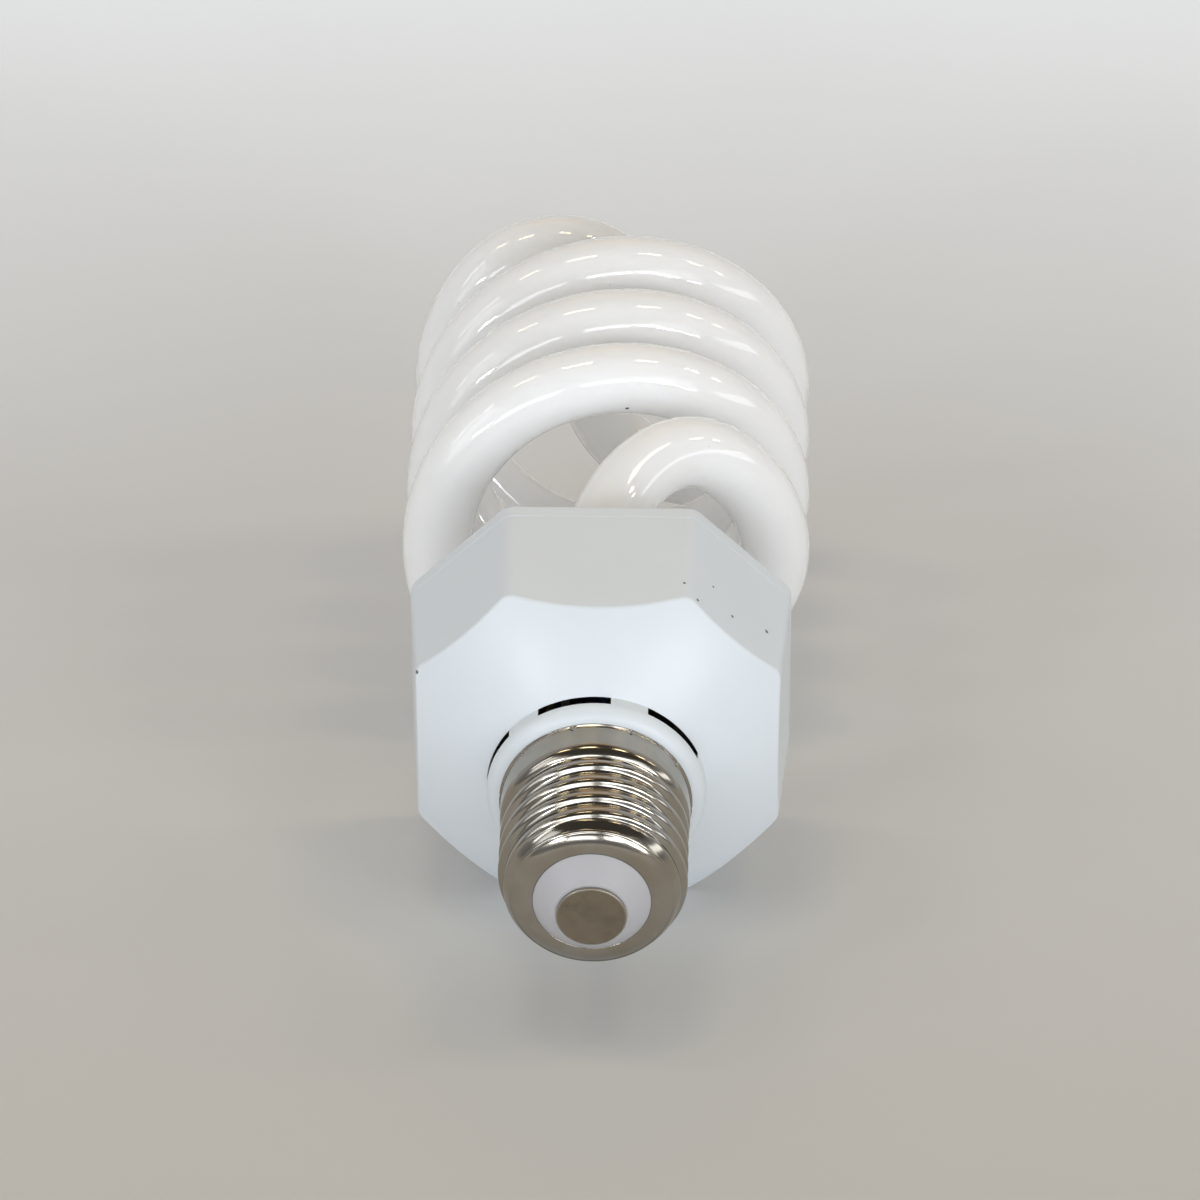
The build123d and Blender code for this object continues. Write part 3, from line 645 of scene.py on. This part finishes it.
def mouldedPlastic():
    material, tree, shader = newMaterial("mouldedPlastic", 0.32)
    cloud = groupNode(tree, mottle, Scale=45.0, Detail=3.0, Spread=0.25)
    colour = mixColour(tree, cloud, plasticLook["white"], plasticLook["aged"])
    dust = groupNode(tree, dustSpecks, Scale=230.0, Size=0.05)
    colour = mixColour(tree, joined(tree, "MULTIPLY", dust, plasticLook["dust"]), colour, plasticLook["dirt"])
    colour = withSpots(tree, colour, plasticLook["spots"], plasticLook["dirt"])
    # painted shade: no light gets far into the vents, so their walls are painted dark within a fraction of a
    # millimetre
    space = addNode(tree, "ShaderNodeGroup", node_tree=lampSpace).outputs
    deep = mapped(tree, space["Radius"], 1.0, 0.0, *plasticLook["ventRadius"])
    above = joined(tree, "GREATER_THAN", space["Along"], plasticLook["ventHeights"][0])
    below = joined(tree, "LESS_THAN", space["Along"], plasticLook["ventHeights"][1])
    ventShade = joined(tree, "MULTIPLY", deep, joined(tree, "MULTIPLY", above, below))
    colour = mixColour(tree, ventShade, colour, plasticLook["ventPaintedShade"])
    tree.links.new(colour, shader.inputs["Base Color"])
    handled = groupNode(tree, mottle, Scale=40.0, Detail=3.0, Spread=0.35)
    tree.links.new(mapped(tree, handled, *plasticLook["roughness"]), shader.inputs["Roughness"])
    grain = groupNode(tree, mottle, Scale=2600.0, Detail=2.0, Spread=0.4)
    bumped(tree, shader, grain, *plasticLook["grain"])
    return material


housingPlastic = mouldedPlastic()
for name in ("ballast_housing", "tube_cover"):
    dress(nodes[name], housingPlastic)

# plated shell
plateLook = {
    "bright": (0.41, 0.39, 0.355),
    "warm": (0.355, 0.32, 0.265),
    "roughness": (0.12, 0.17),
    "wear": 0.55,
    "rolled": (0.25, 0.000002),
}


def nickelPlate():
    material, tree, shader = newMaterial("nickelPlate", 0.15, 1.0)
    haze = groupNode(tree, mottle, Scale=130.0, Detail=4.0, Spread=0.22)
    hairlines = groupNode(tree, turnedHairlines, Density=7.0, Length=2.0)
    tree.links.new(mixColour(tree, haze, plateLook["bright"], plateLook["warm"]), shader.inputs["Base Color"])
    worn = joined(tree, "MULTIPLY", joined(tree, "ADD", haze, hairlines), plateLook["wear"])
    tree.links.new(mapped(tree, worn, *plateLook["roughness"]), shader.inputs["Roughness"])
    bumped(tree, shader, hairlines, *plateLook["rolled"])
    return material


dress(capShell, nickelPlate())

# insulator
coneLook = {
    "white": (0.45, 0.44, 0.46),
    "smudge": (0.40, 0.39, 0.39),
    "smudgeReach": (5.0, 5.9),
    "roughness": (0.40, 0.50),
}


def insulatorGlaze():
    material, tree, shader = newMaterial("insulatorGlaze", 0.45)
    space = addNode(tree, "ShaderNodeGroup", node_tree=lampSpace).outputs
    nearDisc = mapped(tree, space["Radius"], 1.0, 0.0, *coneLook["smudgeReach"])
    cloud = groupNode(tree, mottle, Scale=300.0, Detail=4.0, Spread=0.2)
    colour = mixColour(tree, joined(tree, "MULTIPLY", nearDisc, cloud), coneLook["white"], coneLook["smudge"])
    tree.links.new(colour, shader.inputs["Base Color"])
    tree.links.new(mapped(tree, cloud, *coneLook["roughness"]), shader.inputs["Roughness"])
    return material


dress(insulatorCone, insulatorGlaze())

# contact disc, with a painted highlight along its rim
discLook = {
    "bronze": (0.30, 0.26, 0.205),
    "tarnish": (0.22, 0.19, 0.145),
    # the paler colour of the painted highlight along the rim
    "bright": (0.46, 0.43, 0.38),
    "roughness": (0.28, 0.5),
    "rimHighlightReach": (4.55, 4.8),
    "rimHighlightStrength": 0.8,
    "scuffs": (0.3, 0.00003),
}


def contactBronze():
    material, tree, shader = newMaterial("contactBronze", 0.4, 1.0)
    cloud = groupNode(tree, mottle, Scale=420.0, Detail=5.0, Spread=0.2)
    broad = groupNode(tree, mottle, Scale=150.0, Detail=2.0, Spread=0.2)
    space = addNode(tree, "ShaderNodeGroup", node_tree=lampSpace).outputs
    # painted highlight: the colour turns paler in a ring along the rim, where the rounded edge catches the
    # light
    edge = mapped(tree, space["Radius"], 0.0, discLook["rimHighlightStrength"], *discLook["rimHighlightReach"])
    colour = mixColour(tree, joined(tree, "MULTIPLY", cloud, broad), discLook["bronze"], discLook["tarnish"])
    colour = mixColour(tree, edge, colour, discLook["bright"])
    tree.links.new(colour, shader.inputs["Base Color"])
    tree.links.new(mapped(tree, cloud, *discLook["roughness"]), shader.inputs["Roughness"])
    scuffs = groupNode(tree, mottle, Scale=900.0, Detail=4.0, Spread=0.3)
    bumped(tree, shader, scuffs, *discLook["scuffs"])
    return material


dress(contactDisc, contactBronze())

# pieces inside the housing: colour, second colour, roughness, metallic and the scale of the mottling
innerLooks = {
    "rawCement": ((0.80, 0.79, 0.74), (0.68, 0.66, 0.60), 0.9, 0.0, 900.0),
    "paperBoard": ((0.55, 0.40, 0.22), (0.46, 0.33, 0.18), 0.6, 0.0, 500.0),
    "printedSleeve": ((0.04, 0.05, 0.11), (0.06, 0.08, 0.16), 0.3, 0.0, 200.0),
    "blackFerrite": ((0.06, 0.06, 0.065), (0.11, 0.11, 0.115), 0.7, 0.0, 1500.0),
    "blackResin": ((0.025, 0.025, 0.025), (0.05, 0.05, 0.05), 0.5, 0.0, 1200.0),
    "enamelCopper": ((0.62, 0.27, 0.12), (0.45, 0.17, 0.07), 0.3, 0.8, 700.0),
    "redDip": ((0.38, 0.07, 0.04), (0.30, 0.05, 0.03), 0.25, 0.0, 400.0),
    "orangeDip": ((0.62, 0.30, 0.06), (0.52, 0.23, 0.05), 0.35, 0.0, 400.0),
    "sandLacquer": ((0.62, 0.48, 0.29), (0.52, 0.39, 0.22), 0.4, 0.0, 600.0),
    "amberGlass": ((0.55, 0.24, 0.12), (0.45, 0.18, 0.08), 0.15, 0.0, 300.0),
    "paleSleeve": ((0.80, 0.80, 0.76), (0.72, 0.72, 0.68), 0.5, 0.0, 300.0),
    "tinnedSteel": ((0.66, 0.65, 0.61), (0.55, 0.54, 0.50), 0.35, 1.0, 800.0),
}
innerPieces = {
    "tube_cement": "rawCement",
    "circuit_board": "paperBoard",
    "smoothing_capacitor": "printedSleeve",
    "choke_core": "blackFerrite",
    "choke_bobbin": "blackResin",
    "choke_winding": "enamelCopper",
    "toroid_core": "blackFerrite",
    "toroid_windings": "enamelCopper",
    "transistors": "blackResin",
    "resonance_capacitor": "redDip",
    "coupling_capacitor": "redDip",
    "filter_inductor": "blackFerrite",
    "fuse_resistor": "sandLacquer",
    "starting_capacitor": "orangeDip",
    "rectifier_diodes": "blackResin",
    "resistors": "sandLacquer",
    "trigger_diode": "amberGlass",
    "live_wire": "paleSleeve",
    "neutral_wire": "paleSleeve",
    "wrap_pins": "tinnedSteel",
    "tube_leads": "tinnedSteel",
}


def innerFinish(name):
    first, second, roughness, metallic, scale = innerLooks[name]
    material, tree, shader = newMaterial(name, roughness, metallic)
    cloud = groupNode(tree, mottle, Scale=scale, Detail=3.0, Spread=0.25)
    tree.links.new(mixColour(tree, cloud, first, second), shader.inputs["Base Color"])
    # roughness varies by a fifth either way
    varied = mapped(tree, cloud, roughness * 0.8, min(1.0, roughness * 1.2))
    tree.links.new(varied, shader.inputs["Roughness"])
    return material


innerMaterials = {name: innerFinish(name) for name in innerLooks}
for name, look in innerPieces.items():
    dress(nodes[name], innerMaterials[look])
print("materials on", len(nodes), "pieces")

# floor and back wall in one sweep
sweep = {
    "front": -2.0,
    "bendAt": 1.5,
    "bendRadius": 0.5,
    "height": 0.85,
    "halfWidth": 2.4,
    "bendRows": 24,
    "near": (0.575, 0.555, 0.52),
    "far": (0.86, 0.90, 0.96),
    "grading": (-0.14, 0.30),
    "shade": 0.97,
    "roughness": 0.75,
    "glow": (0.03, 0.30),   # near and far
    "glowGrading": (0.06, 0.32),
}


def sweepGrid():
    # a straight floor, a quarter circle and a straight wall
    turn = np.linspace(0, np.pi / 2, sweep["bendRows"])
    y = np.concatenate([[sweep["front"]], sweep["bendAt"] + sweep["bendRadius"] * np.sin(turn),
                        [sweep["bendAt"] + sweep["bendRadius"]]])
    z = np.concatenate([[0], sweep["bendRadius"] * (1 - np.cos(turn)), [sweep["height"]]])
    x = np.array([-sweep["halfWidth"], sweep["halfWidth"]])
    return np.stack(np.broadcast_arrays(x[None], y[:, None], z[:, None]), -1)


def stageSweep():
    grid = sweepGrid()
    rows = len(grid)
    here = np.arange(rows * 2).reshape(rows, 2)
    quads = np.stack([here[:-1, 0], here[:-1, 1], here[1:, 1], here[1:, 0]], -1)
    mesh = bpy.data.meshes.new("floorSweep")
    mesh.from_pydata(grid.reshape(-1, 3).tolist(), [], quads.tolist())
    mesh.polygons.foreach_set("use_smooth", np.ones(len(quads), bool))
    floor = bpy.data.objects.new("floorSweep", mesh)
    bpy.context.scene.collection.objects.link(floor)
    material, tree, shader = newMaterial("paleFloor", sweep["roughness"])
    cloud = groupNode(tree, mottle, Scale=6.0, Detail=3.0, Spread=0.3)
    place = addNode(tree, "ShaderNodeTexCoord").outputs["Object"]
    depth = addNode(tree, "ShaderNodeSeparateXYZ", {0: place}).outputs["Y"]
    far = mapped(tree, depth, 0.0, 1.0, *sweep["grading"])
    colour = mixColour(tree, far, sweep["near"], sweep["far"])
    shaded = addNode(tree, "ShaderNodeVectorMath", {0: colour, "Scale": sweep["shade"]}, operation="SCALE")
    colour = mixColour(tree, cloud, colour, shaded.outputs[0])
    tree.links.new(colour, shader.inputs["Base Color"])
    # the floor looks paler to the camera and in mirrors, and lights nothing by it
    rays = addNode(tree, "ShaderNodeLightPath").outputs
    seen = joined(tree, "MAXIMUM", rays["Is Camera Ray"], rays["Is Glossy Ray"])
    seen = joined(tree, "MAXIMUM", seen, rays["Is Transmission Ray"])
    # the lift is small in front of and under the lamp and grows behind it; keeping it small under the lamp
    # paints shade on the floor there
    glow = mapped(tree, depth, *sweep["glow"], *sweep["glowGrading"])
    glow = joined(tree, "MULTIPLY", seen, glow)
    paler = addNode(tree, "ShaderNodeVectorMath", {0: colour, "Scale": glow}, operation="SCALE").outputs[0]
    tree.links.new(paler, shader.inputs["Emission Color"])
    shader.inputs["Emission Strength"].default_value = 1.0
    dress(floor, material)


stageSweep()
print("floor ready")

# studio light: warm panels overhead, cool ones round the front, and soft fill that mirrors don't show
lights = {
    "overFarLeft": {"turn": -97, "rise": 59, "away": 1.63, "size": (0.14, 0.28), "level": 9, "tint": "warm"},
    "overLeft": {"turn": -90, "rise": 83, "away": 1.41, "size": (0.14, 0.34), "level": 9, "tint": "warm"},
    "overRight": {"turn": 97, "rise": 66, "away": 1.53, "size": (0.14, 0.27), "level": 10, "tint": "warm"},
    "overFarRight": {"turn": 96, "rise": 45, "away": 1.98, "size": (0.14, 0.24), "level": 12, "tint": "warm"},
    "overLast": {"turn": 97, "rise": 33, "away": 2.57, "size": (0.14, 0.20), "level": 14, "tint": "warm"},
    "leftTall": {"turn": -73, "rise": 32, "away": 1.8, "size": (0.16, 0.75), "level": 4, "tint": "cool"},
    "leftBright": {"turn": -31, "rise": 19, "away": 1.9, "size": (0.36, 0.13), "level": 26, "tint": "cool"},
    "frontLeft": {"turn": -9, "rise": 19, "away": 2.3, "size": (0.90, 0.40), "level": 4.5, "tint": "cool"},
    "frontMiddle": {"turn": 17, "rise": 20, "away": 2.3, "size": (0.56, 0.40), "level": 5.5, "tint": "cool"},
    "frontRight": {"turn": 31, "rise": 20, "away": 2.3, "size": (0.38, 0.40), "level": 5, "tint": "cool"},
    "rightBright": {"turn": 36, "rise": 14, "away": 2.2, "size": (0.26, 0.22), "level": 22, "tint": "cool"},
    "rightSmall": {"turn": 43, "rise": 9, "away": 2.2, "size": (0.22, 0.15), "level": 18, "tint": "cool"},
    "rightLow": {"turn": 78, "rise": 14, "away": 2.0, "size": (1.30, 0.30), "level": 2.5, "tint": "cool"},
    "leftPanel": {"turn": -55, "rise": 26, "away": 1.8, "size": (0.50, 0.95), "level": 1.7, "tint": "cool"},
    "leftEdge": {"turn": -38, "rise": 24, "away": 1.8, "size": (0.50, 0.75), "level": 0.9, "tint": "cool"},
    "rightPanel": {"turn": 44, "rise": 22, "away": 2.2, "size": (0.60, 0.75), "level": 1.6, "tint": "cool"},
    "rightEdge": {"turn": 27, "rise": 22, "away": 2.2, "size": (0.60, 0.60), "level": 0.9, "tint": "cool"},
    "fillFront": {"turn": 0, "rise": 5, "away": 2.0, "size": (2.60, 0.80), "level": 1.2, "tint": "sky"},
    "fillLow": {"turn": 0, "rise": 4, "away": 1.1, "size": (1.20, 0.20), "level": 1.7, "tint": "sky"},
    "fillOver": {"turn": 0, "rise": 80, "away": 1.6, "size": (1.30, 0.90), "level": 0.62, "tint": "sky"},
}
tints = {"warm": (1.0, 0.85, 0.57), "cool": (0.94, 0.97, 1.0), "sky": (0.84, 0.92, 1.0)}
aimPoint = Vector((0.0, 0.0, 0.03))
for name, light in lights.items():
    data = bpy.data.lights.new(name, "AREA")
    data.shape = "RECTANGLE"
    data.size, data.size_y = light["size"]
    # power is the brightness of the panel times pi times its area
    data.energy = light["level"] * math.pi * data.size * data.size_y
    data.color = tints[light["tint"]]
    turn, rise = math.radians(light["turn"]), math.radians(light["rise"])
    towards = Vector((math.cos(rise) * math.sin(turn), -math.cos(rise) * math.cos(turn), math.sin(rise)))
    lamp = bpy.data.objects.new(name, data)
    lamp.location = aimPoint + towards * light["away"]
    lamp.rotation_euler = (-towards).to_track_quat("-Z", "Y").to_euler()
    lamp.visible_glossy = not name.startswith("fill")
    bpy.context.scene.collection.objects.link(lamp)

# the room: dim in front, paler and warmer behind, under a dark ceiling that comes lower in front
room = {
    "above": (0.075, 0.068, 0.060),
    "front": (0.23, 0.23, 0.235),
    "behind": (0.56, 0.56, 0.57),
    "warm": (0.80, 0.59, 0.38),
    "turnToBack": (-0.20, 0.35),
    "ceiling": (0.42, 0.76),    # sine of its height in front and behind
    "ceilingEdge": 0.14,
    "warmWidth": (0.08, 0.42),
    "strength": 1.0,
}
world = bpy.data.worlds.new("softRoom")
world.use_nodes = True
worldTree = world.node_tree
direction = addNode(worldTree, "ShaderNodeTexCoord").outputs["Generated"]
heading = addNode(worldTree, "ShaderNodeSeparateXYZ", {0: direction}).outputs
behind = mapped(worldTree, heading["Y"], 0.0, 1.0, *room["turnToBack"])
ceiling = mapped(worldTree, behind, *room["ceiling"])
overCeiling = joined(worldTree, "SUBTRACT", heading["Z"], ceiling)
high = mapped(worldTree, overCeiling, 0.0, 1.0, 0.0, room["ceilingEdge"])
walls = mixColour(worldTree, behind, room["front"], room["behind"])
sideways = addNode(worldTree, "ShaderNodeMath", {0: heading["X"]}, operation="ABSOLUTE").outputs[0]
middle = mapped(worldTree, sideways, 1.0, 0.0, *room["warmWidth"])
walls = mixColour(worldTree, joined(worldTree, "MULTIPLY", middle, behind), walls, room["warm"])
background = worldTree.nodes["Background"]
worldTree.links.new(mixColour(worldTree, high, walls, room["above"]), background.inputs["Color"])
background.inputs["Strength"].default_value = room["strength"]
bpy.context.scene.world = world
print("lights ready")

# camera where the photograph was taken from
view = {
    "place": (0.0191, -0.8220, 0.5174),
    "aim": (-0.00047, -0.00256, 0.030),
    "sensor": 36,
    "lens": 197.17,
    "roll": -0.07,
}
cameraData = bpy.data.cameras.new("photoCamera")
cameraData.sensor_width = view["sensor"]
cameraData.lens = view["lens"]
camera = bpy.data.objects.new("photoCamera", cameraData)
camera.location = view["place"]
camera.rotation_mode = "QUATERNION"
look = (Vector(view["aim"]) - Vector(view["place"])).to_track_quat("-Z", "Y")
camera.rotation_quaternion = look @ Quaternion((0, 0, 1), math.radians(view["roll"]))
bpy.context.scene.collection.objects.link(camera)
bpy.context.scene.camera = camera
bpy.context.scene.view_settings.view_transform = "Standard"
